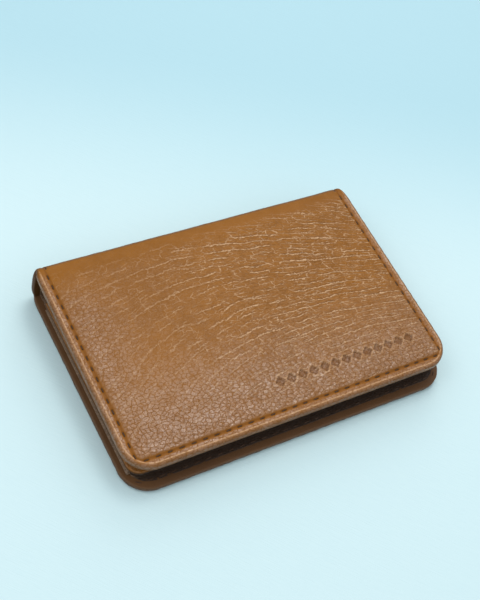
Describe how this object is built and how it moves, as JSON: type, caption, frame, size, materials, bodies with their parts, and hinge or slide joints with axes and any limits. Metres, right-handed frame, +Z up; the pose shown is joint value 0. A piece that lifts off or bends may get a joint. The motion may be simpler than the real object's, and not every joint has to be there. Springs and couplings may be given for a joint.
{
  "type": "card holder",
  "caption": "Bifold leather card case: padded stitched cover, two-crease spine, gusseted card pocket and stepped card slots inside the flap.",
  "frame": {"origin": "middle of the underside of the closed case, on the surface it lies on", "axes": "+X along the spine, +Y towards the spine, +Z up out of the closed flap"},
  "size_m": [0.105, 0.071, 0.014],
  "materials": {
    "tan_leather": "semi-gloss pebbled grain",
    "lining_leather": "smooth satin",
    "fabric_backing": "matte plain weave",
    "thread": "waxed twisted thread",
    "board": "matte fibre board",
    "wadding": "matte felt"
  },
  "bodies": {
    "back": {"back_hide": "tan_leather", "back_wadding": "wadding", "back_board": "board", "back_lining": "lining_leather", "back_stitching": "thread", "pocket_bottom": "tan_leather", "gusset_left": "lining_leather", "gusset_right": "lining_leather"},
    "pocket": {"pocket_hide": "tan_leather", "pocket_lining": "lining_leather", "pocket_stitching": "thread"},
    "spine": {"spine_hide": "tan_leather", "spine_stay": "board", "spine_lining": "lining_leather", "spine_stitching": "thread"},
    "front": {"front_hide": "tan_leather", "front_wadding": "wadding", "front_board": "board", "front_lining": "lining_leather", "front_stitching": "thread", "first_slot": "tan_leather", "first_slot_backing": "fabric_backing", "second_slot": "tan_leather", "second_slot_backing": "fabric_backing"}
  },
  "joints": [
    {"name": "spine_fold", "type": "hinge", "parent": "back", "child": "spine", "pos_m": [0, 0.0343, 0.0012], "axis": [-1, 0, 0], "range_deg": [0, 90]},
    {"name": "flap_fold", "type": "hinge", "parent": "spine", "child": "front", "pos_m": [0, 0.0343, 0.01276], "axis": [-1, 0, 0], "range_deg": [0, 92.5]},
    {"name": "pocket_yawn", "type": "hinge", "parent": "back", "child": "pocket", "pos_m": [0, -0.0311, 0.0054], "axis": [1, 0, 0], "range_deg": [0, 12], "deforming": ["gusset_left", "gusset_right"]}
  ],
  "couplings": [
    {"joint": "flap_fold", "follows": "spine_fold", "ratio": 1.0278},
    {"joint": "pocket_yawn", "follows": "spine_fold", "ratio": 0.13333}
  ]
}
